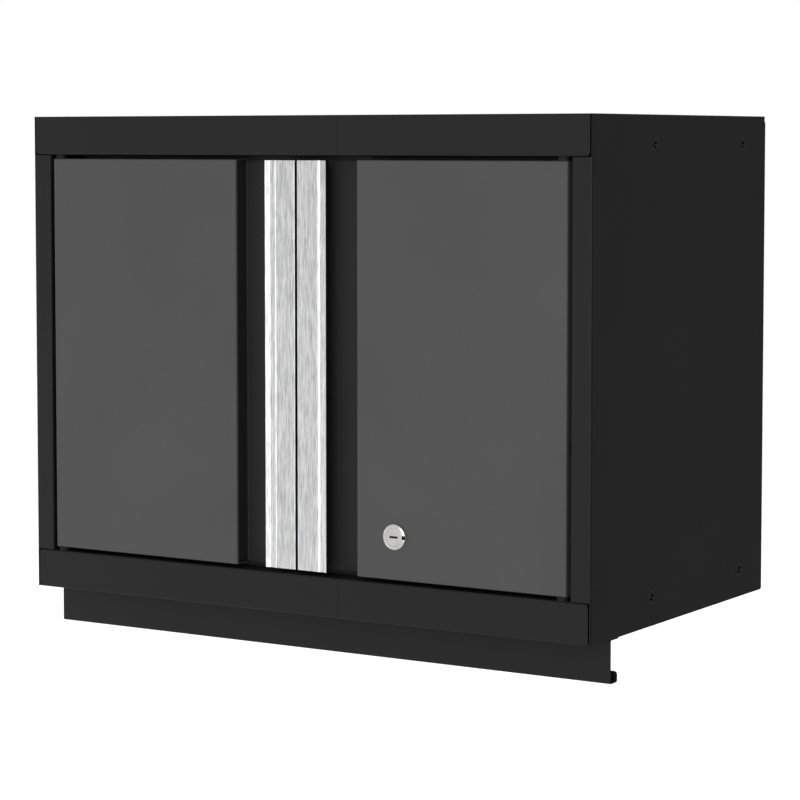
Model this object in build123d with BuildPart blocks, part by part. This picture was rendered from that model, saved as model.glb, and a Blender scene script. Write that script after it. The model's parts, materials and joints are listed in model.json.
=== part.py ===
from build123d import *
import os

# Hanging wall cabinet in folded sheet steel: a casing, two inset doors with full-height
# aluminium pulls, a cam lock, a loose shelf and a light valance under the floor.
# Frame: the origin is the centre of the four wall holes, in the back face (y = 0).
# +X is to the right seen from the front, +Y goes into the wall, +Z is up.

# Casing
BODY_WIDTH = 609.6
BODY_HEIGHT = 457.2
BODY_DEPTH = 355.6
SHEET = 1.2
BEND = 1.8  # outer radius of the folds
FLANGE = 15.0  # rear and top flanges of the casing sheets
RAIL_HEIGHT = 36.7  # front face of the top and bottom panels
RAIL_RETURN = 22.4  # how far the rail turns back behind its front face
STOP_LIP = 8.0  # lip behind the doors, which they close against
STOP_HALF_LENGTH = 262.0
STILE_WIDTH = 20.0  # front face of the side panels
STILE_RETURN = 18.0
SEAM = 0.4  # open joint between two sheets
RAIL_END_GAP = 1.4  # rail's end to the side panel
CORNER_RADIUS = 4.2  # rounded ends of the rails
RAIL_SEAM_X = 46.0  # shallow groove down both rails
RAIL_SEAM_WIDTH = 0.7
NOTCH_DEPTH, NOTCH_HEIGHT, NOTCH_WIDTH = 3.0, 5.5, 9.0  # upper rear corners

# Wall fixing: two by two holes, one pair on each hanging rail
WALL_HOLE_X = 203.2
WALL_HOLE_Z = 190.5
WALL_HOLE_RADIUS = 4.0
HANG_RAIL_HEIGHT = 44.0
HANG_RAIL_FLANGE = 12.0
HANG_RAIL_LENGTH = 570.0

# Light valance
VALANCE_WIDTH = 608.5
VALANCE_SETBACK = 38.4
VALANCE_DROP = 39.6
VALANCE_TOP_FLANGE = 15.4
VALANCE_FOOT = 13.4
VALANCE_LIP = 9.6
VALANCE_CORNER = 3.0  # rounded ends of its lip

# Shelf standards and the screws that hold them through the sides
SIDE_SCREW_DEPTHS = (117.5, 302.4)
SIDE_SCREW_Z = 202.5
STANDARD_DEPTH = 12.0
STANDARD_WIDTH = 20.0
STANDARD_LENGTH = 424.0
SLOT_PITCH = 25.0

# Shelf
SHELF_WIDTH = 576.0
SHELF_FRONT = 48.0  # behind the casing's front
SHELF_BACK = 335.0
SHELF_THICKNESS = 20.0
SHELF_TOP = 5.0

# Doors
DOOR_GAP = 3.9  # door to stile
DOOR_SKIN = 1.0
DOOR_DEPTH = 20.0
DOOR_HALF_HEIGHT = 188.2
DOOR_BEND = 1.6
CHANNEL_EDGE = 66.2  # where the painted panel ends and the finger channel begins
CHANNEL_FOLD = 1.4
PANEL_LIP = 3.0
HANDLE_INNER = 1.1
HANDLE_OUTER = 33.4
HANDLE_HALF_HEIGHT = 187.6
PIVOT_INSET = 6.0  # pivot axis in from the door's side and from its front
PIN_RADIUS = 3.0
RUNNING = 0.05  # radial clearance of every turning fit

# Cam lock
LOCK_X = 107.0
LOCK_ABOVE_BOTTOM = 79.7
BEZEL_RADIUS = 11.5
BARREL_RADIUS = 9.5
PLUG_HEAD_RADIUS = 8.35
PLUG_RADIUS = 6.0
CAM_LENGTH = 46.0

HALF = BODY_WIDTH / 2
TOP = BODY_HEIGHT / 2
BOTTOM = -TOP
FRONT = -BODY_DEPTH
INSIDE = HALF - SHEET
RAIL_EDGE = TOP - RAIL_HEIGHT
STILE_EDGE = HALF - STILE_WIDTH
STILE_HALF_HEIGHT = RAIL_EDGE - SEAM
BACK = -SHEET  # front face of the back panel
DOOR_EDGE = STILE_EDGE - DOOR_GAP
DOOR_REAR = DOOR_DEPTH + DOOR_SKIN
PIVOT_X = DOOR_EDGE - PIVOT_INSET
PIVOT_Y = FRONT + PIVOT_INSET
LOCK_Z = BOTTOM + LOCK_ABOVE_BOTTOM
STANDARD_FACE = INSIDE - STANDARD_DEPTH
SHELF_UNDERSIDE = SHELF_TOP - SHELF_THICKNESS
LIP_REAR = RAIL_RETURN + SHEET

LOW = (Align.CENTER, Align.CENTER, Align.MIN)
HIGH = (Align.CENTER, Align.CENTER, Align.MAX)
MINIMUM = (Align.MIN, Align.MIN, Align.MIN)
ALONG_X = (0, 90, 0)  # turns a primitive's axis from +Z to +X
ALONG_Y = (-90, 0, 0)  # turns a primitive's axis from +Z to +Y

os.makedirs("parts", exist_ok=True)


def save(piece, label):
    """Label a finished piece and write it to its own file."""
    piece.part.label = label
    export_step(piece.part, f"parts/{label}.step")


def save_left(piece, name):
    """Write the mirror image of a right-hand piece."""
    with BuildPart() as left_piece:
        mirror(piece.part, about=Plane.YZ)
    save(left_piece, f"left_{name}")


def save_pair(piece, name):
    """Write a right-hand piece and its mirror image."""
    save(piece, f"right_{name}")
    save_left(piece, name)


def folded_sheet(outline, thickness, radius):
    """Section of a folded sheet, from one face's line, with the metal on the line's left."""
    with BuildSketch(mode=Mode.PRIVATE) as section:
        with BuildLine():
            FilletPolyline(*outline, radius=radius)
            offset(amount=thickness, side=Side.LEFT)
        make_face()
    return section.sketch


def block(x_range, depth_range, z_range, mode=Mode.ADD):
    """Box between two limits on each axis; depths count back from the casing's front."""
    size = [high - low for low, high in (x_range, depth_range, z_range)]
    with Locations((x_range[0], FRONT + depth_range[0], z_range[0])):
        return Box(*size, align=MINIMUM, mode=mode)


def both_ways(values):
    """Each value and its negative."""
    return [sign * value for value in values for sign in (-1, 1)]


# --- Casing -------------------------------------------------------------------------

side_screw_points = [
    (HALF, FRONT + depth, z)
    for depth in SIDE_SCREW_DEPTHS
    for z in (-SIDE_SCREW_Z, SIDE_SCREW_Z)
]
DIMPLE_RADIUS, DIMPLE_HOLE, DIMPLE_DEPTH = 7.5, 2.9, 3.7

with BuildPart() as side_panel:
    with BuildSketch(Plane.XY.offset(BOTTOM)):
        side_outline = [
            (STILE_EDGE, FRONT + STILE_RETURN),
            (STILE_EDGE, FRONT),
            (HALF, FRONT),
            (HALF, BACK),
            (HALF - FLANGE, BACK),
        ]
        add(folded_sheet(side_outline, SHEET, BEND))
    extrude(amount=BODY_HEIGHT)
    for low, high in ((BOTTOM - 1, -STILE_HALF_HEIGHT), (STILE_HALF_HEIGHT, TOP + 1)):
        # the stile and the rear flange stop where the top and bottom panels pass
        block((STILE_EDGE - 1, INSIDE), (-1, STILE_RETURN + 1), (low, high), Mode.SUBTRACT)
    rear_limit = TOP - FLANGE - SEAM
    for low, high in ((BOTTOM - 1, -rear_limit), (rear_limit, TOP + 1)):
        rear_depths = (BODY_DEPTH - 3 * SHEET, BODY_DEPTH)
        block((HALF - FLANGE - 1, INSIDE), rear_depths, (low, high), Mode.SUBTRACT)
    for z in (BOTTOM + SHEET, TOP - 2 * SHEET):
        block((INSIDE - FLANGE, INSIDE + SHEET / 2), (4, BODY_DEPTH - 5), (z, z + SHEET))
    with Locations(*side_screw_points):
        Cone(
            DIMPLE_HOLE + SHEET, DIMPLE_RADIUS + SHEET, DIMPLE_DEPTH, rotation=ALONG_X, align=HIGH
        )
        Cone(
            DIMPLE_HOLE, DIMPLE_RADIUS, DIMPLE_DEPTH, rotation=ALONG_X, align=HIGH,
            mode=Mode.SUBTRACT,
        )
    notch_depths = (BODY_DEPTH - NOTCH_DEPTH, BODY_DEPTH + 1)
    notch_heights = (TOP - NOTCH_HEIGHT, TOP + 1)
    block((HALF - NOTCH_WIDTH, HALF + 1), notch_depths, notch_heights, Mode.SUBTRACT)
save_pair(side_panel, "side_panel")

PANEL_HALF_WIDTH = INSIDE - RAIL_END_GAP
BUSH_RADIUS = 4.4
bush_points = [(x, PIVOT_Y, 0) for x in both_ways([PIVOT_X])]

with BuildPart() as casing_panel:
    with BuildSketch(Plane.YZ):
        panel_outline = [
            (BACK, TOP - FLANGE),
            (BACK, TOP),
            (FRONT, TOP),
            (FRONT, RAIL_EDGE),
            (FRONT + RAIL_RETURN, RAIL_EDGE),
            (FRONT + RAIL_RETURN, RAIL_EDGE - STOP_LIP),
        ]
        add(folded_sheet(panel_outline, SHEET, BEND))
    extrude(amount=PANEL_HALF_WIDTH, both=True)
    for x_range in ((-HALF, -STOP_HALF_LENGTH), (STOP_HALF_LENGTH, HALF)):
        # the stop lip ends short of the hinge pins
        block(x_range, (RAIL_RETURN - 2, LIP_REAR + 1), (RAIL_EDGE - 10, RAIL_EDGE + 4),
              Mode.SUBTRACT)
    with BuildSketch(Plane.XZ.offset(-FRONT + 1)):
        for sign in (-1, 1):
            corner = sign * PANEL_HALF_WIDTH
            with Locations((corner, RAIL_EDGE)):
                Rectangle(2 * CORNER_RADIUS, 2 * CORNER_RADIUS)
            with Locations((corner - sign * CORNER_RADIUS, RAIL_EDGE + CORNER_RADIUS)):
                Circle(CORNER_RADIUS, mode=Mode.SUBTRACT)
    extrude(amount=-(RAIL_RETURN + 4), mode=Mode.SUBTRACT)
    seam_x = (RAIL_SEAM_X - RAIL_SEAM_WIDTH / 2, RAIL_SEAM_X + RAIL_SEAM_WIDTH / 2)
    block(seam_x, (-1, SHEET / 3), (RAIL_EDGE - 1, TOP + 1), Mode.SUBTRACT)
    with Locations(*bush_points):
        with Locations((0, 0, RAIL_EDGE - 2)):
            Cylinder(BUSH_RADIUS, 6, align=LOW, mode=Mode.SUBTRACT)

CATCH_CENTRE = 32.0
CATCH_SCREW_SPREAD = 8.0
CATCH_SCREW_Z = RAIL_EDGE - 4.0
catch_screw_xs = [CATCH_CENTRE - CATCH_SCREW_SPREAD, CATCH_CENTRE + CATCH_SCREW_SPREAD]
CATCH_SCREW_RADIUS = 1.5

with BuildPart() as top_panel:
    add(casing_panel.part)
    for x_range in ((-HALF, -HALF + NOTCH_WIDTH), (HALF - NOTCH_WIDTH, HALF)):
        block(x_range, notch_depths, notch_heights, Mode.SUBTRACT)
    with Locations(*[(x, FRONT + LIP_REAR, CATCH_SCREW_Z) for x in both_ways(catch_screw_xs)]):
        Cylinder(CATCH_SCREW_RADIUS, 4 * SHEET, rotation=ALONG_Y, mode=Mode.SUBTRACT)
save(top_panel, "top_panel")

RIVET_RADIUS = 2.4
VALANCE_RIVET_Y = FRONT + VALANCE_SETBACK + 8.5
valance_rivet_points = [(x, VALANCE_RIVET_Y, BOTTOM) for x in both_ways([85.0, 255.0])]

with BuildPart() as bottom_panel:
    mirror(casing_panel.part, about=Plane.XY)
    with Locations(*valance_rivet_points):
        Cylinder(RIVET_RADIUS, 4 * SHEET, mode=Mode.SUBTRACT)
save(bottom_panel, "bottom_panel")

wall_hole_points = [(x, 0, z) for x in both_ways([WALL_HOLE_X]) for z in both_ways([WALL_HOLE_Z])]
weld_marks = [(x, 0, z) for x in both_ways([296.5]) for z in (-180, -90, 0, 90, 180)]
weld_marks += [(x, 0, z) for x in (-240, -120, 0, 120, 240) for z in both_ways([221.0])]
BACK_EDGE = 0.6  # the back panel stops short of the casing's faces

with BuildPart() as back_panel:
    block(
        (-HALF + BACK_EDGE, HALF - BACK_EDGE),
        (BODY_DEPTH - SHEET, BODY_DEPTH),
        (BOTTOM + BACK_EDGE, TOP - BACK_EDGE),
    )
    with Locations(*wall_hole_points):
        Cylinder(WALL_HOLE_RADIUS, 4 * SHEET, rotation=ALONG_Y, mode=Mode.SUBTRACT)
    with Locations(*weld_marks):
        # shallow round print that a spot weld leaves
        Cylinder(3.0, 0.5, rotation=ALONG_Y, mode=Mode.SUBTRACT)
    for x_range in ((-HALF, -HALF + NOTCH_WIDTH), (HALF - NOTCH_WIDTH, HALF)):
        block(x_range, notch_depths, notch_heights, Mode.SUBTRACT)
save(back_panel, "back_panel")

for rail_name, middle in (("upper_hanging_rail", WALL_HOLE_Z), ("lower_hanging_rail", -WALL_HOLE_Z)):
    with BuildPart() as hanging_rail:
        with BuildSketch(Plane.YZ):
            rail_front = BACK - HANG_RAIL_FLANGE
            rail_outline = [
                (rail_front, middle - HANG_RAIL_HEIGHT / 2),
                (BACK, middle - HANG_RAIL_HEIGHT / 2),
                (BACK, middle + HANG_RAIL_HEIGHT / 2),
                (rail_front, middle + HANG_RAIL_HEIGHT / 2),
            ]
            add(folded_sheet(rail_outline, SHEET, BEND))
        extrude(amount=HANG_RAIL_LENGTH / 2, both=True)
        with Locations(*[(x, BACK, middle) for x in both_ways([WALL_HOLE_X])]):
            Cylinder(WALL_HOLE_RADIUS, 4 * SHEET, rotation=ALONG_Y, mode=Mode.SUBTRACT)
    save(hanging_rail, rail_name)

with BuildPart() as light_valance:
    with BuildSketch(Plane.YZ):
        web = FRONT + VALANCE_SETBACK
        valance_outline = [
            (web + VALANCE_TOP_FLANGE, BOTTOM),
            (web, BOTTOM),
            (web, BOTTOM - VALANCE_DROP),
            (web + VALANCE_FOOT, BOTTOM - VALANCE_DROP),
            (web + VALANCE_FOOT, BOTTOM - VALANCE_DROP + VALANCE_LIP),
        ]
        add(folded_sheet(valance_outline, SHEET, BEND))
    extrude(amount=VALANCE_WIDTH / 2, both=True)
    with Locations(*valance_rivet_points):
        Cylinder(RIVET_RADIUS, 4 * SHEET, mode=Mode.SUBTRACT)
    with BuildSketch(Plane.XZ.offset(-(web + VALANCE_FOOT - 2 * SHEET))):
        lip_top = BOTTOM - VALANCE_DROP + VALANCE_LIP
        for sign in (-1, 1):
            corner = sign * VALANCE_WIDTH / 2
            with Locations((corner, lip_top)):
                Rectangle(2 * VALANCE_CORNER, 2 * VALANCE_CORNER)
            with Locations((corner - sign * VALANCE_CORNER, lip_top - VALANCE_CORNER)):
                Circle(VALANCE_CORNER, mode=Mode.SUBTRACT)
    extrude(amount=-4 * SHEET, mode=Mode.SUBTRACT)
save(light_valance, "light_valance")

RIVET_HEAD_RADIUS = 4.8

with BuildPart() as valance_rivets:
    with Locations(*valance_rivet_points):
        with Locations((0, 0, SHEET)):
            Cone(RIVET_HEAD_RADIUS, 0.6 * RIVET_HEAD_RADIUS, 1.6, align=LOW)
        with Locations((0, 0, -SHEET)):
            Cylinder(RIVET_RADIUS, 2 * SHEET, align=LOW)
            Cone(0.6 * RIVET_HEAD_RADIUS, 0.8 * RIVET_HEAD_RADIUS, 1.8, align=HIGH)
save(valance_rivets, "valance_rivets")

# --- Shelf standards, their screws and nuts ------------------------------------------

NUT_THICKNESS = 4.0
SCREW_RADIUS = 2.5
SCREW_HEAD_RADIUS = 7.2
SCREW_LENGTH = HALF - STANDARD_FACE + 2.0
RECESS_SPAN, RECESS_SLOT, RECESS_DEPTH = 9.6, 1.9, 1.5  # cross recess in the head
RECESS_TURN = 25

for place, depth in zip(("front", "rear"), SIDE_SCREW_DEPTHS):
    with BuildPart() as shelf_standard:
        with BuildSketch(Plane.XY.offset(-STANDARD_LENGTH / 2)):
            near, far = FRONT + depth - STANDARD_WIDTH / 2, FRONT + depth + STANDARD_WIDTH / 2
            standard_outline = [
                (INSIDE, far),
                (STANDARD_FACE, far),
                (STANDARD_FACE, near),
                (INSIDE, near),
            ]
            add(folded_sheet(standard_outline, SHEET, BEND))
        extrude(amount=STANDARD_LENGTH)
        slot_count = int(2 * (SIDE_SCREW_Z - 20) / SLOT_PITCH)
        if slot_count % 2 == 0:
            slot_count += 1
        with BuildSketch(Plane.YZ.offset(STANDARD_FACE)):
            with Locations((FRONT + depth, 0)):
                with GridLocations(8.0, SLOT_PITCH, 2, slot_count):
                    SlotOverall(10.0, 3.2, rotation=90)
        extrude(amount=2 * SHEET, mode=Mode.SUBTRACT)
        with Locations(*[(STANDARD_FACE, FRONT + depth, z) for z in both_ways([SIDE_SCREW_Z])]):
            Cylinder(SCREW_RADIUS + RUNNING, 4 * SHEET, rotation=ALONG_X, mode=Mode.SUBTRACT)
    save_pair(shelf_standard, f"{place}_standard")

with BuildPart() as side_screws:
    with Locations(*side_screw_points):
        Cone(SCREW_RADIUS, SCREW_HEAD_RADIUS, DIMPLE_DEPTH, rotation=ALONG_X, align=HIGH)
        Cylinder(SCREW_RADIUS, SCREW_LENGTH, rotation=ALONG_X, align=HIGH)
        Cone(0.5 * RECESS_SLOT, 1.3 * RECESS_SLOT, 1.5 * RECESS_DEPTH, rotation=ALONG_X, align=HIGH,
             mode=Mode.SUBTRACT)
        for turn in (RECESS_TURN, RECESS_TURN + 90):
            Box(2 * RECESS_DEPTH, RECESS_SPAN, RECESS_SLOT, rotation=(turn, 0, 0), mode=Mode.SUBTRACT)
save_pair(side_screws, "side_screws")

with BuildPart() as standard_nuts:
    nut_face = STANDARD_FACE + SHEET
    with Locations(*[(nut_face, y, z) for _, y, z in side_screw_points]):
        Cylinder(5.0, NUT_THICKNESS, rotation=ALONG_X, align=LOW)
        Cylinder(SCREW_RADIUS, 3 * NUT_THICKNESS, rotation=ALONG_X, mode=Mode.SUBTRACT)
save_pair(standard_nuts, "standard_nuts")

# --- Shelf and its clips --------------------------------------------------------------

CLIP_SHEET = 1.6
CLIP_WIDTH = 14.0
CLIP_REACH = 12.0
CLIP_HEIGHT = 24.0

with BuildPart() as shelf_clips:
    for depth in SIDE_SCREW_DEPTHS:
        across = (depth - CLIP_WIDTH / 2, depth + CLIP_WIDTH / 2)
        ledge = (SHELF_UNDERSIDE - CLIP_SHEET, SHELF_UNDERSIDE)
        block((STANDARD_FACE - CLIP_REACH, STANDARD_FACE), across, ledge)
        upright = (SHELF_UNDERSIDE - CLIP_HEIGHT, SHELF_UNDERSIDE)
        block((STANDARD_FACE - CLIP_SHEET, STANDARD_FACE), across, upright)
        for side in (-1, 1):
            # two hooks through the standard's slots
            middle = depth + side * 4.0
            hook = (-SLOT_PITCH - 2.0, -SLOT_PITCH + 2.0)
            block((STANDARD_FACE - CLIP_SHEET, STANDARD_FACE + 4), (middle - 1.2, middle + 1.2), hook)
save_pair(shelf_clips, "shelf_clips")

with BuildPart() as shelf:
    block(
        (-SHELF_WIDTH / 2, SHELF_WIDTH / 2),
        (SHELF_FRONT, SHELF_BACK),
        (SHELF_UNDERSIDE, SHELF_TOP),
    )
    fillet(shelf.edges().filter_by(Axis.X).group_by(Axis.Z)[-1], BEND)
    offset(amount=-DOOR_SKIN, openings=shelf.faces().sort_by(Axis.Z)[0])
    for depth_range in ((SHELF_FRONT, SHELF_FRONT + 12), (SHELF_BACK - 12, SHELF_BACK)):
        # returns along the front and rear folds
        returns = (SHELF_UNDERSIDE, SHELF_UNDERSIDE + DOOR_SKIN)
        block((-SHELF_WIDTH / 2 + 2, SHELF_WIDTH / 2 - 2), depth_range, returns)
save(shelf, "shelf")

with BuildPart() as shelf_stiffener:
    with BuildSketch(Plane.YZ):
        ceiling = SHELF_TOP - DOOR_SKIN
        middle = FRONT + (SHELF_FRONT + SHELF_BACK) / 2
        hat_outline = [
            (middle + 28, ceiling),
            (middle + 15, ceiling),
            (middle + 15, ceiling - 12),
            (middle - 15, ceiling - 12),
            (middle - 15, ceiling),
            (middle - 28, ceiling),
        ]
        add(folded_sheet(hat_outline, DOOR_SKIN, CHANNEL_FOLD))
    extrude(amount=SHELF_WIDTH / 2 - 6, both=True)
save(shelf_stiffener, "shelf_stiffener")

# --- Doors: each is built on the right and mirrored to the left -------------------------

lock_point = (LOCK_X, FRONT, LOCK_Z)
pin_points = [(PIVOT_X, PIVOT_Y, z) for z in both_ways([DOOR_HALF_HEIGHT])]
HANDLE_SCREW_X = 12.0
HANDLE_SCREW_RADIUS = 1.7
handle_screw_points = [(HANDLE_SCREW_X, FRONT + DOOR_REAR, z) for z in (-145.0, 0.0, 145.0)]
channel_floor = DOOR_DEPTH - DOOR_SKIN

with BuildPart() as door_skin:
    block(
        (CHANNEL_EDGE, DOOR_EDGE),
        (0, DOOR_DEPTH),
        (-DOOR_HALF_HEIGHT, DOOR_HALF_HEIGHT),
    )
    fillet(door_skin.edges().group_by(Axis.Y)[0], DOOR_BEND)
    offset(amount=-DOOR_SKIN, openings=door_skin.faces().sort_by(Axis.Y)[-1])
    with BuildSketch(Plane.XZ.offset(-(FRONT + DOOR_DEPTH))):
        # rear flanges on the outer side, top and bottom
        panel_width = DOOR_EDGE - CHANNEL_EDGE
        with Locations((CHANNEL_EDGE + panel_width / 2, 0)):
            Rectangle(panel_width, 2 * DOOR_HALF_HEIGHT)
        with Locations((CHANNEL_EDGE + panel_width / 2 - 12, 0)):
            Rectangle(panel_width, 2 * (DOOR_HALF_HEIGHT - 12), mode=Mode.SUBTRACT)
    extrude(amount=DOOR_SKIN)
    inner_height = DOOR_HALF_HEIGHT - DOOR_SKIN
    block(
        (CHANNEL_EDGE - 1, CHANNEL_EDGE + 18),
        (PANEL_LIP, DOOR_DEPTH + 1),
        (-inner_height, inner_height),
        Mode.SUBTRACT,
    )
    with Locations(*pin_points):
        Cylinder(PIN_RADIUS + RUNNING, 4, mode=Mode.SUBTRACT)
save_left(door_skin, "door_skin")

with BuildPart() as right_door_skin:
    add(door_skin.part)
    with Locations(lock_point):
        Cylinder(BARREL_RADIUS + RUNNING, 10, rotation=ALONG_Y, mode=Mode.SUBTRACT)
save(right_door_skin, "right_door_skin")

with BuildPart() as door_back:
    block(
        (1.6, DOOR_EDGE - 0.6),
        (DOOR_DEPTH, DOOR_REAR),
        (-DOOR_HALF_HEIGHT + 0.6, DOOR_HALF_HEIGHT - 0.6),
    )
    with Locations(*handle_screw_points):
        Cylinder(HANDLE_SCREW_RADIUS + RUNNING, 4, rotation=ALONG_Y, mode=Mode.SUBTRACT)
save_left(door_back, "door_back")

with BuildPart() as right_door_back:
    add(door_back.part)
    with Locations((LOCK_X, FRONT + DOOR_DEPTH, LOCK_Z)):
        Cylinder(BARREL_RADIUS + RUNNING, 10, rotation=ALONG_Y, mode=Mode.SUBTRACT)
save(right_door_back, "right_door_back")

with BuildPart() as finger_channel:
    channel_half_height = inner_height - 0.8  # clears the folds inside the skin
    with BuildSketch(Plane.XY.offset(-channel_half_height)):
        wall = CHANNEL_EDGE + DOOR_SKIN
        channel_outline = [
            (1.6, FRONT + channel_floor),
            (wall, FRONT + channel_floor),
            (wall, FRONT + DOOR_SKIN),
            (wall + 16, FRONT + DOOR_SKIN),
        ]
        add(folded_sheet(channel_outline, DOOR_SKIN, CHANNEL_FOLD))
    extrude(amount=2 * channel_half_height)
    with Locations(*handle_screw_points):
        Cylinder(HANDLE_SCREW_RADIUS + RUNNING, 6, rotation=ALONG_Y, mode=Mode.SUBTRACT)
save_pair(finger_channel, "finger_channel")

# Section of the pull, in distances from the cabinet's centre line and depths from its front.
FACE_DEPTH = 0.5
BEAD_START, BEAD_CREST, BEAD_END = 21.7, 23.4, 25.1
BEAD_HEIGHT = 0.45
LIP_START, LIP_START_DEPTH = 28.5, 0.9
TIP_PROUD = 0.5
TIP_ROUNDING = 0.4
UNDERSIDE = 4.0
BASE_WIDTH = 20.0
PULL_WALL = 2.0

with BuildPart() as handle:
    with BuildSketch(Plane.XY.offset(-HANDLE_HALF_HEIGHT)):
        with BuildLine():
            face = FRONT + FACE_DEPTH
            tip = FRONT - TIP_PROUD
            seat = FRONT + channel_floor
            web_inside = HANDLE_INNER + PULL_WALL
            Line((HANDLE_INNER + 1, face), (BEAD_START, face))
            crest = (BEAD_CREST, face - BEAD_HEIGHT)
            bead = ThreePointArc((BEAD_START, face), crest, (BEAD_END, face))
            lip_start = (LIP_START, FRONT + LIP_START_DEPTH)
            lip_end = (HANDLE_OUTER - TIP_ROUNDING, tip)
            TangentArc((BEAD_END, face), lip_start, tangent=bead % 1)
            Line(lip_start, lip_end)
            ThreePointArc(lip_end, (HANDLE_OUTER - 0.1, tip - 0.1), (HANDLE_OUTER, tip + 0.2))
            Polyline(
                (HANDLE_OUTER, tip + 0.2),
                (HANDLE_OUTER, FRONT + UNDERSIDE),
                (web_inside, FRONT + UNDERSIDE),
                (web_inside, seat - PULL_WALL),
                (BASE_WIDTH, seat - PULL_WALL),
                (BASE_WIDTH, seat),
                (HANDLE_INNER, seat),
                (HANDLE_INNER, face + 1),
            )
            ThreePointArc(
                (HANDLE_INNER, face + 1),
                (HANDLE_INNER + 0.293, face + 0.293),
                (HANDLE_INNER + 1, face),
            )
        make_face()
    extrude(amount=2 * HANDLE_HALF_HEIGHT)
    with Locations(*handle_screw_points):
        Cylinder(HANDLE_SCREW_RADIUS, 12, rotation=ALONG_Y, mode=Mode.SUBTRACT)
save_pair(handle, "handle")

with BuildPart() as handle_screws:
    with Locations(*handle_screw_points):
        Cylinder(3.4, 1.3, rotation=ALONG_Y, align=LOW)
        Cylinder(HANDLE_SCREW_RADIUS, 3.9, rotation=ALONG_Y, align=HIGH)
    rims = handle_screws.edges().filter_by(GeomType.CIRCLE).group_by(Axis.Y)[-1]
    fillet(rims, 0.6)
    with Locations(*[(x, y + 1.3, z) for x, y, z in handle_screw_points]):
        for turn in (0, 90):
            Box(3.6, 1.4, 0.8, rotation=(0, turn, 0), mode=Mode.SUBTRACT)
save_pair(handle_screws, "handle_screws")

with BuildPart() as door_stiffener:
    with BuildSketch(Plane.XY.offset(-DOOR_HALF_HEIGHT + 14)):
        panel_rear = FRONT + DOOR_SKIN
        hat_outline = [
            (158, panel_rear),
            (170, panel_rear),
            (170, panel_rear + 17),
            (194, panel_rear + 17),
            (194, panel_rear),
            (206, panel_rear),
        ]
        add(folded_sheet(hat_outline, DOOR_SKIN, CHANNEL_FOLD))
    extrude(amount=2 * (DOOR_HALF_HEIGHT - 14))
save_pair(door_stiffener, "door_stiffener")

BLOCK_HEIGHT = 16.0
BUSH_FLANGE = 1.4
WASHER = 2.1
BUSH_LENGTH = 9.0

with BuildPart() as pivot_blocks:
    for low, high in ((-inner_height, -inner_height + BLOCK_HEIGHT),
                      (inner_height - BLOCK_HEIGHT, inner_height)):
        block((DOOR_EDGE - 14, DOOR_EDGE - DOOR_SKIN), (DOOR_BEND + 0.1, 13), (low, high))
    with Locations(*pin_points):
        Cylinder(PIN_RADIUS, 60, mode=Mode.SUBTRACT)
save_pair(pivot_blocks, "pivot_blocks")

with BuildPart() as pivot_pins:
    for sign in (-1, 1):
        pin_middle = sign * (DOOR_HALF_HEIGHT - DOOR_SKIN - BLOCK_HEIGHT / 2 + 13)
        with Locations((PIVOT_X, PIVOT_Y, pin_middle)):
            Cylinder(PIN_RADIUS, BLOCK_HEIGHT + 8)
    tips = pivot_pins.edges().filter_by(GeomType.CIRCLE)
    chamfer(tips.group_by(Axis.Z)[0] + tips.group_by(Axis.Z)[-1], 0.5)
save_pair(pivot_pins, "pivot_pins")

with BuildPart() as pivot_washers:
    for sign in (-1, 1):
        with Locations((PIVOT_X, PIVOT_Y, sign * (DOOR_HALF_HEIGHT + WASHER / 2))):
            Cylinder(PIVOT_INSET - 0.2, WASHER)
            Cylinder(PIN_RADIUS + RUNNING, 2 * WASHER, mode=Mode.SUBTRACT)
save_pair(pivot_washers, "pivot_washers")

with BuildPart() as pivot_bushes:
    for sign in (-1, 1):
        with Locations((PIVOT_X, PIVOT_Y, sign * (RAIL_EDGE - BUSH_FLANGE / 2))):
            Cylinder(BUSH_RADIUS + 1.2, BUSH_FLANGE)
        with Locations((PIVOT_X, PIVOT_Y, sign * (RAIL_EDGE + BUSH_LENGTH / 2))):
            Cylinder(BUSH_RADIUS, BUSH_LENGTH)
            Cylinder(PIN_RADIUS + RUNNING, 2 * BUSH_LENGTH, mode=Mode.SUBTRACT)
save_pair(pivot_bushes, "pivot_bushes")

with BuildPart() as bumpers:
    for z in both_ways([RAIL_EDGE - 6.4]):
        with Locations((9.0, FRONT + DOOR_REAR, z)):
            Cylinder(2.0, RAIL_RETURN - DOOR_REAR - 0.1, rotation=ALONG_Y, align=LOW)
save_pair(bumpers, "bumpers")

# --- Magnetic catches under the top rail -------------------------------------------------

CATCH_WIDTH = 26.0
CATCH_FACE = 22.8
CATCH_TOP, CATCH_BOTTOM = RAIL_EDGE - 11, RAIL_EDGE - 31
STRIKE = 1.4
catch_x = (CATCH_CENTRE - CATCH_WIDTH / 2, CATCH_CENTRE + CATCH_WIDTH / 2)
magnet_x = (CATCH_CENTRE - 9, CATCH_CENTRE + 9)
magnet_z = (CATCH_BOTTOM + 4, CATCH_TOP - 4)
magnet_rear = CATCH_FACE + 10

with BuildPart() as catch_housing:
    block(catch_x, (CATCH_FACE, 37), (CATCH_BOTTOM, CATCH_TOP))
    fillet(catch_housing.edges().filter_by(Axis.Y), 2.0)
    block(catch_x, (LIP_REAR, LIP_REAR + 2.6), (CATCH_TOP - 6, RAIL_EDGE - 0.6))
    block(magnet_x, (CATCH_FACE - 1, magnet_rear), magnet_z, Mode.SUBTRACT)
    with Locations(*[(x, FRONT + LIP_REAR, CATCH_SCREW_Z) for x in catch_screw_xs]):
        Cylinder(CATCH_SCREW_RADIUS + RUNNING, 12, rotation=ALONG_Y, mode=Mode.SUBTRACT)
save_pair(catch_housing, "catch_housing")

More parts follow.
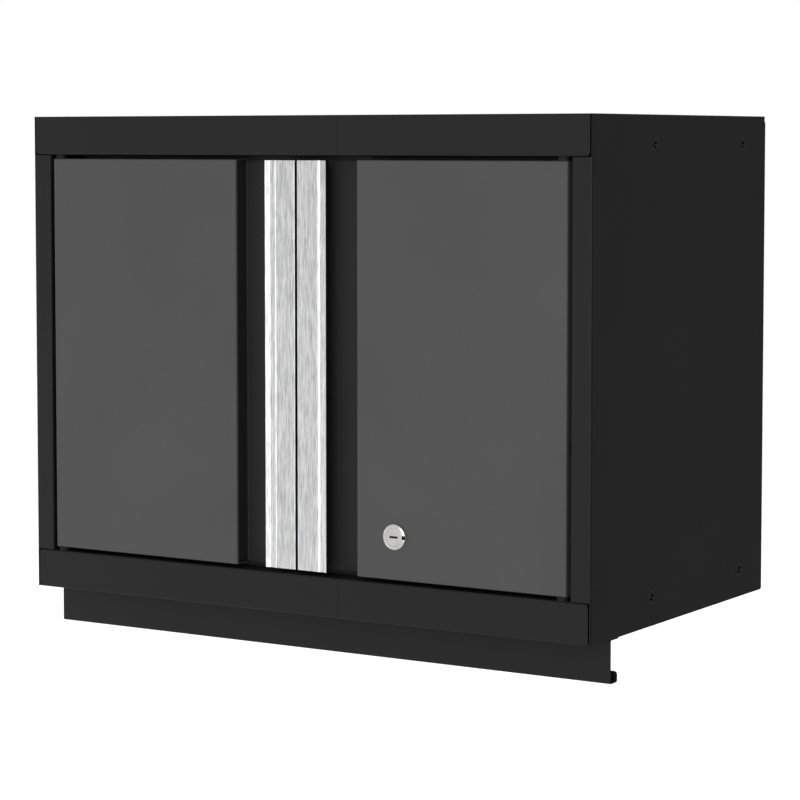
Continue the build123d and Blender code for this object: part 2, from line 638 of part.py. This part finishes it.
with BuildPart() as catch_magnet:
    # two pole plates with the magnet between them
    pole = 2.0
    block(magnet_x, (CATCH_FACE - 0.3, magnet_rear), (magnet_z[0], magnet_z[0] + pole))
    block(magnet_x, (CATCH_FACE - 0.3, magnet_rear), (magnet_z[1] - pole, magnet_z[1]))
    block(magnet_x, (CATCH_FACE + 1, magnet_rear), (magnet_z[0] + pole, magnet_z[1] - pole))
save_pair(catch_magnet, "catch_magnet")

with BuildPart() as catch_screws:
    screw_seat = FRONT + LIP_REAR + 2.6
    with Locations(*[(x, screw_seat, CATCH_SCREW_Z) for x in catch_screw_xs]):
        Cylinder(3.0, 1.8, rotation=ALONG_Y, align=LOW)
        Cylinder(CATCH_SCREW_RADIUS, 3.7, rotation=ALONG_Y, align=HIGH)
    fillet(catch_screws.edges().filter_by(GeomType.CIRCLE).group_by(Axis.Y)[-1], 0.8)
save_pair(catch_screws, "catch_screws")

with BuildPart() as strike_plate:
    block(catch_x, (DOOR_REAR, DOOR_REAR + STRIKE), (CATCH_BOTTOM, CATCH_TOP))
    fillet(strike_plate.edges().filter_by(Axis.Y), 2.0)
save_pair(strike_plate, "strike_plate")

# --- Cam lock on the right door -----------------------------------------------------------

BEZEL_HEIGHT = 2.6
BEZEL_SLOPE = 1.8
BARREL_LENGTH = 24.6
HEAD_THICKNESS = 1.8
CAM_FRONT, CAM_THICKNESS = 25.1, 2.0
TAIL = 7.0
KEY_SLOT_WIDTH, KEY_SLOT_HEIGHT = 8.6, 1.9
bezel_point = (LOCK_X, FRONT - BEZEL_HEIGHT, LOCK_Z)

with BuildPart() as lock_housing:
    with Locations(bezel_point):
        Cylinder(BEZEL_RADIUS, BEZEL_HEIGHT, rotation=ALONG_Y, align=LOW)
    bezel_rim = lock_housing.edges().filter_by(GeomType.CIRCLE).group_by(Axis.Y)[0]
    chamfer(bezel_rim, 0.7, BEZEL_SLOPE)
    with Locations(lock_point):
        Cylinder(BARREL_RADIUS, BARREL_LENGTH, rotation=ALONG_Y, align=LOW)
        Cylinder(PLUG_RADIUS + RUNNING, 80, rotation=ALONG_Y, mode=Mode.SUBTRACT)
    with Locations(bezel_point):
        recess = HEAD_THICKNESS + RUNNING
        Cylinder(PLUG_HEAD_RADIUS + RUNNING, recess, rotation=ALONG_Y, align=LOW,
                 mode=Mode.SUBTRACT)
        with Locations((BEZEL_RADIUS - 1.4, 0, 0)):
            # index notch in the rim
            Box(3.2, 2 * 1.9, 3.7, mode=Mode.SUBTRACT)
save(lock_housing, "lock_housing")

with BuildPart() as lock_nut:
    with BuildSketch(Plane.XZ.offset(-(FRONT + DOOR_REAR))):
        with Locations((LOCK_X, LOCK_Z)):
            RegularPolygon(12.5, 6, major_radius=False)
            Circle(BARREL_RADIUS + 0.02, mode=Mode.SUBTRACT)
    extrude(amount=-3.0)
save(lock_nut, "lock_nut")

with BuildPart() as lock_plug:
    with Locations(bezel_point):
        Cylinder(PLUG_HEAD_RADIUS, HEAD_THICKNESS, rotation=ALONG_Y, align=LOW)
    fillet(lock_plug.edges().filter_by(GeomType.CIRCLE).group_by(Axis.Y)[0], 0.3)
    with Locations(bezel_point):
        shaft = BEZEL_HEIGHT + CAM_FRONT
        Cylinder(PLUG_RADIUS, shaft, rotation=ALONG_Y, align=LOW)
        tail_end = shaft + CAM_THICKNESS - 0.1
        Box(TAIL, tail_end, TAIL, align=(Align.CENTER, Align.MIN, Align.CENTER))
        Box(KEY_SLOT_WIDTH, 24, KEY_SLOT_HEIGHT, mode=Mode.SUBTRACT)
    with Locations((LOCK_X, FRONT + CAM_FRONT + CAM_THICKNESS, LOCK_Z)):
        Cylinder(2.0, 12, rotation=ALONG_Y, align=HIGH, mode=Mode.SUBTRACT)
save(lock_plug, "lock_plug")

with BuildPart() as lock_cam:
    with BuildSketch(Plane.XZ.offset(-(FRONT + CAM_FRONT))):
        with Locations((LOCK_X, LOCK_Z)):
            Circle(9.0)
        arm = CAM_LENGTH - 3
        with Locations((LOCK_X + arm / 2, LOCK_Z)):
            Rectangle(arm, 13.0)
        with Locations((LOCK_X + CAM_LENGTH - 6.5, LOCK_Z)):
            Circle(6.5)
        with Locations((LOCK_X, LOCK_Z)):
            Rectangle(TAIL + 0.1, TAIL + 0.1, mode=Mode.SUBTRACT)
    extrude(amount=-CAM_THICKNESS)
save(lock_cam, "lock_cam")

with BuildPart() as cam_screw:
    with Locations((LOCK_X, FRONT + CAM_FRONT + CAM_THICKNESS, LOCK_Z)):
        Cylinder(6.0, 1.0, rotation=ALONG_Y, align=LOW)
        Cylinder(3.8, 3.0, rotation=ALONG_Y, align=LOW)
        Cylinder(2.0 - 0.02, 9, rotation=ALONG_Y, align=HIGH)
    fillet(cam_screw.edges().filter_by(GeomType.CIRCLE).group_by(Axis.Y)[-1], 0.8)
    with Locations((LOCK_X, FRONT + CAM_FRONT + CAM_THICKNESS + 3.0, LOCK_Z)):
        for turn in (0, 90):
            Box(4.6, 2.4, 1.0, rotation=(0, turn, 0), mode=Mode.SUBTRACT)
save(cam_screw, "cam_screw")
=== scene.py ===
import json
import math

import bmesh
import bpy
from mathutils import Matrix, Vector

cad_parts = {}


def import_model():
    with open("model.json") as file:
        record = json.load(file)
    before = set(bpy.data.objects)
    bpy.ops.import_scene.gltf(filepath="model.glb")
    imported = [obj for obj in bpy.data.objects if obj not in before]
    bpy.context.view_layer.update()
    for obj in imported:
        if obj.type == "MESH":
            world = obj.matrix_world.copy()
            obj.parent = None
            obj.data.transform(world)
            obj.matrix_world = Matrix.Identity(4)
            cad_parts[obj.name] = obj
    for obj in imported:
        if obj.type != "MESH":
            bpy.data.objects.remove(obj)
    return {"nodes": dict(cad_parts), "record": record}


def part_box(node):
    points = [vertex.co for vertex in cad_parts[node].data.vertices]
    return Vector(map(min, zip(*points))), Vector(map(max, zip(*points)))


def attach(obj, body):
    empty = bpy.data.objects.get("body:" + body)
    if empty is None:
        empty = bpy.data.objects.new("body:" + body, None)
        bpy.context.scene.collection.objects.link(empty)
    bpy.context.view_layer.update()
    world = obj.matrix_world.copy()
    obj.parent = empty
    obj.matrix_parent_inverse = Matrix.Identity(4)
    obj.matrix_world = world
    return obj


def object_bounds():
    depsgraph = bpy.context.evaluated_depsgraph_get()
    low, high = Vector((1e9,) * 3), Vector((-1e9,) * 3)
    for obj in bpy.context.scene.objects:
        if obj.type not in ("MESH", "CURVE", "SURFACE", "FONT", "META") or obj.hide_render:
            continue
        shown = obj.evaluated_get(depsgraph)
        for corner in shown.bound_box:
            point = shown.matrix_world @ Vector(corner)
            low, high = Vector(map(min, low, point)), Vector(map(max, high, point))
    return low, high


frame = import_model()
CAD_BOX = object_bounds()
NODES = frame["nodes"]
MM = 0.001


# --- Node trees -----------------------------------------------------------------------

NOISE_LOW, NOISE_HIGH = 0.3, 0.7  # the band that most noise values fall in
BEVEL_SAMPLES = 6


class Tree:
    """A material's node tree, with short names for the nodes that the materials share."""

    def __init__(self, name):
        self.material = bpy.data.materials.new(name)
        self.material.use_nodes = True
        self.nodes = self.material.node_tree.nodes
        self.links = self.material.node_tree.links
        self.nodes.clear()
        self.shader = self.nodes.new("ShaderNodeBsdfPrincipled")
        output = self.nodes.new("ShaderNodeOutputMaterial")
        self.links.new(self.shader.outputs["BSDF"], output.inputs["Surface"])
        coordinates = self.nodes.new("ShaderNodeTexCoord")
        self.place, self.normal = coordinates.outputs["Object"], coordinates.outputs["Normal"]

    def set(self, **sockets):
        """Give the shader's own sockets their constants; underscores stand for spaces."""
        for name, value in sockets.items():
            self.shader.inputs[name.replace("_", " ")].default_value = value

    def feed(self, socket, value):
        self.links.new(value, self.shader.inputs[socket])

    def noise(self, scale, detail=2.0, roughness=0.5, vector=None, distortion=0.0):
        """Noise over the object coordinates, with its scale in features per metre."""
        node = self.nodes.new("ShaderNodeTexNoise")
        node.inputs["Scale"].default_value = scale
        node.inputs["Detail"].default_value = detail
        node.inputs["Roughness"].default_value = roughness
        node.inputs["Distortion"].default_value = distortion
        self.links.new(vector or self.place, node.inputs["Vector"])
        return node.outputs["Fac"]

    def streaks(self, scales, **noise_settings):
        """Noise stretched by its own scale along each axis, in features per metre."""
        mapping = self.nodes.new("ShaderNodeMapping")
        mapping.inputs["Scale"].default_value = scales
        self.links.new(self.place, mapping.inputs["Vector"])
        return self.noise(1.0, vector=mapping.outputs["Vector"], **noise_settings)

    def remap(self, value, out_low, out_high, low=NOISE_LOW, high=NOISE_HIGH):
        """The value's band from low to high, spread from out_low to out_high."""
        node = self.nodes.new("ShaderNodeMapRange")
        for socket, number in zip(node.inputs[1:5], (low, high, out_low, out_high)):
            socket.default_value = number
        self.links.new(value, node.inputs[0])
        return node.outputs[0]

    def vary_roughness(self, value, roughness, offsets, band=(NOISE_LOW, NOISE_HIGH)):
        """The roughness, with an offset added at each end of the value's band."""
        lowest, highest = (roughness + offset for offset in offsets)
        self.feed("Roughness", self.remap(value, lowest, highest, *band))

    def math(self, operation, first, second=None):
        node = self.nodes.new("ShaderNodeMath")
        node.operation = operation
        for socket, value in zip(node.inputs, (first, second)):
            if value is None:
                continue
            if isinstance(value, (int, float)):
                socket.default_value = value
            else:
                self.links.new(value, socket)
        return node.outputs[0]

    def shade(self, colour, amount):
        """The colour times a grey amount that varies over the surface."""
        node = self.nodes.new("ShaderNodeMix")
        node.data_type = "RGBA"
        node.blend_type = "MULTIPLY"
        node.inputs["Factor"].default_value = 1.0
        node.inputs["A"].default_value = (*colour, 1)
        self.links.new(amount, node.inputs["B"])
        return node.outputs["Result"]

    def bump(self, height, depth, below=None):
        """A bumped normal, on top of the normal below it."""
        node = self.nodes.new("ShaderNodeBump")
        node.inputs["Strength"].default_value = 1.0
        node.inputs["Distance"].default_value = depth
        self.links.new(height, node.inputs["Height"])
        if below is not None:
            self.links.new(below, node.inputs["Normal"])
        return node.outputs["Normal"]

    def rounded_edges(self, radius):
        """A normal that turns smoothly round every sharp edge."""
        node = self.nodes.new("ShaderNodeBevel")
        node.samples = BEVEL_SAMPLES
        node.inputs["Radius"].default_value = radius
        return node.outputs["Normal"]


# --- Materials ------------------------------------------------------------------------
# Noise scales and streaks are in features per metre. Tones are what the colour is multiplied
# by, and gloss pairs what is added to the roughness, at the low and the high end of a noise
# band. The depths are those of the bumps, and the edges the radii of rounded edges.

COAT_CLOUDS, COAT_HANDLING, COAT_PEEL, COAT_SPECKS, COAT_GRAIN = 9, 14, 420, 1400, 2200
CLOUD_TONES, SPECK_TONES = (0.95, 1.05), (0.93, 1.07)
SPECK_BAND = (0.35, 0.65)
COAT_GLOSS = (-0.015, 0.02)
PEEL_DEPTH, COAT_GRAIN_DEPTH = 0.05 * MM, 0.012 * MM
COAT_EDGE = 0.5 * MM


def powder_coat(name, colour, roughness=0.44, specular=0.17):
    """Satin powder coat: orange peel about two millimetres across under finer grain."""
    tree = Tree(name)
    tree.set(Specular_IOR_Level=specular, IOR=1.5)
    clouds = tree.remap(tree.noise(COAT_CLOUDS, detail=3), *CLOUD_TONES)
    specks = tree.remap(tree.noise(COAT_SPECKS, detail=1), *SPECK_TONES, *SPECK_BAND)
    tree.feed("Base Color", tree.shade(colour, tree.math("MULTIPLY", clouds, specks)))
    handling = tree.noise(COAT_HANDLING, detail=4, roughness=0.6)
    tree.vary_roughness(handling, roughness, COAT_GLOSS)
    peel = tree.noise(COAT_PEEL, roughness=0.55)
    peeled = tree.bump(peel, PEEL_DEPTH, tree.rounded_edges(COAT_EDGE))
    tree.feed("Normal", tree.bump(tree.noise(COAT_GRAIN, detail=1), COAT_GRAIN_DEPTH, peeled))
    return tree.material


WIDE_STREAKS = (720, 720, 55)
FINE_STREAKS = (3240, 3240, 121)
WIDE_SHARE, FINE_SHARE = 0.62, 0.38
STREAK_TONES, STREAK_GLOSS = (0.38, 1.0), (-0.07, 0.07)
STREAK_GLOSS_BAND = (0.25, 0.75)
STREAK_WANDER = 0.4
STREAK_DEPTH, STREAK_EDGE = 0.02 * MM, 0.25 * MM
# Painted shade on the pulls' side walls: where a face points along X its colour drops to a tenth.
SIDE_SHADE_TONES = (1.0, 0.1)
SIDE_SHADE_BAND = (0.8, 0.95)  # how far a face points along X where the painted shade begins and is full


def brushed_metal(name, colour, roughness):
    """Metal brushed along Z: long streaks in tone and gloss, and painted shade that darkens the side
    walls facing along X.
    """
    tree = Tree(name)
    tree.set(Metallic=0.92, Anisotropic=0.35, Specular_IOR_Level=0.5)
    wide = tree.streaks(WIDE_STREAKS, detail=3, roughness=0.6, distortion=STREAK_WANDER)
    fine = tree.streaks(FINE_STREAKS, roughness=0.6)
    streaks = tree.math("ADD", tree.math("MULTIPLY", wide, WIDE_SHARE),
                        tree.math("MULTIPLY", fine, FINE_SHARE))
    # Painted shade: faces pointing along X are darkened, standing in for the shade between the pulls
    # and under their lips.
    facing = tree.nodes.new("ShaderNodeSeparateXYZ")
    tree.links.new(tree.normal, facing.inputs[0])
    painted_side_shade = tree.remap(tree.math("ABSOLUTE", facing.outputs[0]), *SIDE_SHADE_TONES, *SIDE_SHADE_BAND)
    tone = tree.math("MULTIPLY", tree.remap(streaks, *STREAK_TONES), painted_side_shade)
    tree.feed("Base Color", tree.shade(colour, tone))
    tree.vary_roughness(fine, roughness, STREAK_GLOSS, STREAK_GLOSS_BAND)
    tangent = tree.nodes.new("ShaderNodeTangent")
    tangent.direction_type = "RADIAL"
    tangent.axis = "Z"
    tree.feed("Tangent", tangent.outputs[0])
    tree.feed("Normal", tree.bump(streaks, STREAK_DEPTH, tree.rounded_edges(STREAK_EDGE)))
    return tree.material


RING_PITCH, RING_DEPTH = 0.35 * MM, 0.003 * MM
STAINS = 160
STAIN_TONES, STAIN_GLOSS = (0.9, 1.0), (-0.05, 0.08)
TURNED_EDGE = 0.2 * MM


def turned_metal(name, colour, roughness, centre):
    """Plated metal faced on a lathe: fine rings about an axis along Y through the centre."""
    tree = Tree(name)
    tree.set(Metallic=1.0)
    parts = tree.nodes.new("ShaderNodeSeparateXYZ")
    tree.links.new(tree.place, parts.inputs[0])
    across = tree.math("SUBTRACT", parts.outputs[0], centre[0])
    up = tree.math("SUBTRACT", parts.outputs[2], centre[2])
    squares = tree.math("ADD", tree.math("MULTIPLY", across, across), tree.math("MULTIPLY", up, up))
    turns = tree.math("MULTIPLY", tree.math("SQRT", squares), 2 * math.pi / RING_PITCH)
    rings = tree.math("SINE", turns)
    stain = tree.noise(STAINS, detail=3, roughness=0.6)
    tree.feed("Base Color", tree.shade(colour, tree.remap(stain, *STAIN_TONES)))
    tree.vary_roughness(stain, roughness, STAIN_GLOSS)
    tree.feed("Normal", tree.bump(rings, RING_DEPTH, tree.rounded_edges(TURNED_EDGE)))
    return tree.material


ZINC_CLOUDS, ZINC_SCRATCHES = 130, (2600, 900, 160)
ZINC_TONES, SCRATCH_TONES, ZINC_GLOSS = (0.86, 1.0), (0.93, 1.0), (-0.08, 0.1)
SCRATCH_DEPTH, ZINC_EDGE = 0.01 * MM, 0.2 * MM


def zinc_plate(name, colour, roughness):
    """Bright zinc on pressed steel: faint clouds and short scratches."""
    tree = Tree(name)
    tree.set(Metallic=1.0)
    clouds = tree.noise(ZINC_CLOUDS, detail=4, roughness=0.65)
    scratches = tree.streaks(ZINC_SCRATCHES, roughness=0.7)
    tone = tree.math("MULTIPLY", tree.remap(clouds, *ZINC_TONES),
                     tree.remap(scratches, *SCRATCH_TONES))
    tree.feed("Base Color", tree.shade(colour, tone))
    tree.vary_roughness(clouds, roughness, ZINC_GLOSS)
    tree.feed("Normal", tree.bump(scratches, SCRATCH_DEPTH, tree.rounded_edges(ZINC_EDGE)))
    return tree.material


RUBBED_PATCHES = 900
RUBBED_TONES, RUBBED_BAND = (0.55, 1.4), (0.35, 0.75)
OXIDE_GLOSS = (-0.09, 0.09)
OXIDE_DEPTH, OXIDE_EDGE = 0.02 * MM, 0.15 * MM


def black_oxide(name, colour, roughness):
    """Blackened steel, paler in small rubbed patches."""
    tree = Tree(name)
    tree.set(Metallic=0.85, Specular_IOR_Level=0.3)
    rubbed = tree.noise(RUBBED_PATCHES, detail=3, roughness=0.6)
    tree.feed("Base Color", tree.shade(colour, tree.remap(rubbed, *RUBBED_TONES, *RUBBED_BAND)))
    tree.vary_roughness(rubbed, roughness, OXIDE_GLOSS)
    tree.feed("Normal", tree.bump(rubbed, OXIDE_DEPTH, tree.rounded_edges(OXIDE_EDGE)))
    return tree.material


MOULD_DUST = 40
DUST_TONES, MOULD_GLOSS = (0.85, 1.2), (-0.06, 0.06)
MOULD_EDGE = 0.25 * MM


def moulded(name, colour, roughness, grain, depth):
    """Moulded plastic or rubber with a spark-eroded grain and a little dust."""
    tree = Tree(name)
    tree.set(Specular_IOR_Level=0.16, IOR=1.49)
    cells = tree.noise(grain)
    dust = tree.noise(MOULD_DUST, detail=3, roughness=0.6)
    tree.feed("Base Color", tree.shade(colour, tree.remap(dust, *DUST_TONES)))
    tree.vary_roughness(cells, roughness, MOULD_GLOSS)
    tree.feed("Normal", tree.bump(cells, depth, tree.rounded_edges(MOULD_EDGE)))
    return tree.material


def middle(node):
    low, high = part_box(node)
    return (low + high) / 2


BLACK = (0.0130, 0.0130, 0.0131)
# A paler copy of the black: painted light for the parts inside the cabinet.
INSIDE_LIFTED_BLACK = (0.027, 0.027, 0.0272)
CHARCOAL = (0.026, 0.026, 0.0263)
GREY = (0.079, 0.079, 0.0795)
ALUMINIUM = (0.88, 0.88, 0.885)
NICKEL = (0.68, 0.675, 0.66)
ZINC = (0.56, 0.57, 0.58)
DULL_ZINC = (0.42, 0.42, 0.43)
OXIDE = (0.04, 0.04, 0.042)
NYLON = (0.011, 0.011, 0.0115)
RUBBER = (0.016, 0.016, 0.016)
materials = {
    "black_powder_coat": powder_coat("black_powder_coat_detail", BLACK),
    "grey_powder_coat": powder_coat("grey_powder_coat_detail", GREY, roughness=0.5),
    "brushed_aluminium": brushed_metal("brushed_aluminium_detail", ALUMINIUM, roughness=0.36),
    "nickel_plate": turned_metal("nickel_plate_detail", NICKEL, 0.22, centre=middle("lock_plug")),
    "zinc_plate": zinc_plate("zinc_plate_detail", ZINC, roughness=0.34),
    "black_oxide": black_oxide("black_oxide_detail", OXIDE, roughness=0.43),
    "black_nylon": moulded("black_nylon_detail", NYLON, 0.55, grain=1500, depth=0.03 * MM),
    "black_rubber": moulded("black_rubber_detail", RUBBER, 0.72, grain=900, depth=0.04 * MM),
    "galvanised_pole": zinc_plate("pole_plate_detail", DULL_ZINC, roughness=0.42),
    "charcoal_powder_coat": powder_coat("charcoal_powder_coat_detail", CHARCOAL,
                                        roughness=0.5, specular=0.12),
}
# The sheet parts inside, the doors' backs included, get a paler and more matt copy of the black coat:
# painted light that lifts them out of the shade inside the cabinet.
inside_lifted_coat = powder_coat("inside_lifted_powder_coat_detail", INSIDE_LIFTED_BLACK, roughness=0.5, specular=0.2)
INSIDE = ("shelf", "standard", "hanging_rail", "door_back", "door_stiffener")
slot_of = {row["node"]: row["material_slot"] for row in frame["record"]["subparts"]}
for node_name, node_object in NODES.items():
    material = materials[slot_of[node_name]]
    if material == materials["black_powder_coat"] and any(word in node_name for word in INSIDE):
        material = inside_lifted_coat
    for material_slot in node_object.material_slots:
        material_slot.material = material


# --- Small pieces in the lock ----------------------------------------------------------


def rounded_block(name, centre, size, rounding, body, material_slot):
    """Block with rounded edges about a centre, riding on a body."""
    shape = bmesh.new()
    bmesh.ops.create_cube(shape, size=1)
    fit = Matrix.Translation(centre) @ Matrix.Diagonal((*size, 1))
    bmesh.ops.transform(shape, matrix=fit, verts=shape.verts)
    bmesh.ops.bevel(shape, geom=shape.edges, offset=rounding, segments=3, profile=0.5, affect="EDGES")
    mesh = bpy.data.meshes.new(name)
    shape.to_mesh(mesh)
    shape.free()
    thing = bpy.data.objects.new(name, mesh)
    bpy.context.scene.collection.objects.link(thing)
    mesh.materials.append(materials[material_slot])
    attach(thing, body)


KEY_SLOT = Vector((8.4, 1.0, 1.7)) * MM
SHUTTER_BEHIND_FACE = 3.2 * MM
SHUTTER_ROUNDING = 0.15 * MM
# Painted shade: a black block fills the bezel's index notch, standing in for the shade seen down the
# notch.
NOTCH_SHADE_FILL = Vector((2.6, 1.6, 3.4)) * MM
INDEX_FROM_SIDE, INDEX_FROM_FRONT = 1.7 * MM, 1.3 * MM
INDEX_ROUNDING = 0.3 * MM

LOCK_LOW, LOCK_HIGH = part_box("lock_housing")
PLUG_MIDDLE = middle("lock_plug")
PLUG_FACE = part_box("lock_plug")[0].y
# Painted shade in part: a shutter sits deep in the keyway, and its blackened finish stands in for the
# shade down the slot.
shutter_middle = Vector((PLUG_MIDDLE.x, PLUG_FACE + SHUTTER_BEHIND_FACE, PLUG_MIDDLE.z))
rounded_block("key_slot_shade_shutter", shutter_middle, KEY_SLOT, SHUTTER_ROUNDING, "lock", "black_oxide")
# The notch's painted shade: a black block set in the bezel's notch.
notch_shade_fill_middle = Vector((LOCK_HIGH.x - INDEX_FROM_SIDE, LOCK_LOW.y + INDEX_FROM_FRONT, PLUG_MIDDLE.z))
rounded_block("notch_shade_fill", notch_shade_fill_middle, NOTCH_SHADE_FILL, INDEX_ROUNDING, "right_door", "black_nylon")


# --- Studio ---------------------------------------------------------------------------

CAMERA_PLACE = Vector((1.3750, -2.3867, 0.2046))
CAMERA_AZIMUTH, CAMERA_ELEVATION = 31.87, 3.96  # degrees
CAMERA_LENS = 121.16  # millimetres
CAMERA_SHIFT = -0.09  # share of the picture's width
CAMERA_REACH = 100  # metres
SURROUND_BRIGHTEST = (-0.8, -1, -0.4)  # the direction in which the surround is brightest
SURROUND_BEHIND, SURROUND_AHEAD = 0.17, 0.84  # strength away from it and toward it
BACKDROP = 1.0
FLOOR_BELOW, FLOOR_RADIUS, FLOOR_SIDES = 0.45, 8.0, 96
FLOOR_LEVEL, FLOOR_GLOW = 0.8, 0.7  # lightness of its paint, and the strength of its own light
FLOOR_SCUFFS, SCUFF_TONES = 3, (0.98, 1.0)


def aim(thing, direction):
    thing.rotation_mode = "QUATERNION"
    thing.rotation_quaternion = direction.to_track_quat("-Z", "Y")


def camera(place, azimuth, elevation, lens, shift):
    """A camera looking along +Y, turned by the azimuth toward -X and down by the elevation."""
    data = bpy.data.cameras.new("camera")
    data.lens = lens
    data.shift_y = shift
    data.clip_end = CAMERA_REACH
    thing = bpy.data.objects.new("camera", data)
    bpy.context.scene.collection.objects.link(thing)
    thing.location = place
    a, e = math.radians(azimuth), math.radians(elevation)
    aim(thing, Vector((-math.sin(a) * math.cos(e), math.cos(a) * math.cos(e), -math.sin(e))))
    bpy.context.scene.camera = thing


def softbox(name, place, target, size, power):
    data = bpy.data.lights.new(name, "AREA")
    data.shape = "RECTANGLE"
    data.size, data.size_y = size
    data.energy = power
    thing = bpy.data.objects.new(name, data)
    bpy.context.scene.collection.objects.link(thing)
    thing.location = place
    aim(thing, Vector(target) - Vector(place))


def world(brightest, behind, ahead, backdrop):
    """A surround that lights the object, brightest one way, and a white backdrop for the camera."""
    place = bpy.data.worlds.new("studio")
    place.use_nodes = True
    nodes, links = place.node_tree.nodes, place.node_tree.links
    nodes.clear()
    toward = nodes.new("ShaderNodeVectorMath")
    toward.operation = "DOT_PRODUCT"
    toward.inputs[1].default_value = Vector(brightest).normalized()
    links.new(nodes.new("ShaderNodeTexCoord").outputs["Generated"], toward.inputs[0])
    level = nodes.new("ShaderNodeMapRange")
    level.interpolation_type = "SMOOTHSTEP"
    for socket, number in zip(level.inputs[1:5], (-1, 1, behind, ahead)):
        socket.default_value = number
    links.new(toward.outputs["Value"], level.inputs[0])
    surround, white = nodes.new("ShaderNodeBackground"), nodes.new("ShaderNodeBackground")
    links.new(level.outputs[0], surround.inputs["Strength"])
    white.inputs["Strength"].default_value = backdrop
    for background in (surround, white):
        background.inputs["Color"].default_value = (1, 1, 1, 1)
    mix = nodes.new("ShaderNodeMixShader")
    links.new(nodes.new("ShaderNodeLightPath").outputs["Is Camera Ray"], mix.inputs[0])
    links.new(surround.outputs[0], mix.inputs[1])
    links.new(white.outputs[0], mix.inputs[2])
    links.new(mix.outputs[0], nodes.new("ShaderNodeOutputWorld").inputs["Surface"])
    bpy.context.scene.world = place


def floor(height, radius, level, glow):
    """A pale round floor below the hanging cabinet, which doesn't light it from underneath."""
    mesh = bpy.data.meshes.new("floor")
    shape = bmesh.new()
    bmesh.ops.create_circle(shape, cap_ends=True, segments=FLOOR_SIDES, radius=radius)
    shape.to_mesh(mesh)
    shape.free()
    thing = bpy.data.objects.new("floor", mesh)
    bpy.context.scene.collection.objects.link(thing)
    thing.location = (0, 0, height)
    thing.visible_diffuse = False
    thing.visible_glossy = False
    tree = Tree("floor_paint")
    tree.set(Roughness=0.9, Specular_IOR_Level=0.1)
    tree.set(Emission_Color=(1, 1, 1, 1), Emission_Strength=glow)
    scuffs = tree.remap(tree.noise(FLOOR_SCUFFS), *SCUFF_TONES)
    tree.feed("Base Color", tree.shade((level,) * 3, scuffs))
    mesh.materials.append(tree.material)


low, high = CAD_BOX
centre = (low + high) / 2
front_right = Vector((high.x, low.y, 0))
SOFTBOXES = {  # place, what it faces, width and height in metres, power in watts
    "key": ((0.88, -3.05, 0.1), centre, (2.4, 2.2), 32),
    "side": ((-2.5, -2.0, -0.9), centre, (0.8, 1.8), 6.5),
    "right": ((1.25, 1.2, 0.0), front_right, (0.3, 2.6), 1.35),
    "rear": ((-1.6, 2.8, 1.2), centre, (2.4, 2.0), 16),
}
camera(CAMERA_PLACE, CAMERA_AZIMUTH, CAMERA_ELEVATION, CAMERA_LENS, CAMERA_SHIFT)
world(SURROUND_BRIGHTEST, SURROUND_BEHIND, SURROUND_AHEAD, BACKDROP)
floor(low.z - FLOOR_BELOW, FLOOR_RADIUS, FLOOR_LEVEL, FLOOR_GLOW)
for softbox_name, settings in SOFTBOXES.items():
    softbox(softbox_name, *settings)
bpy.context.scene.view_settings.view_transform = "Standard"
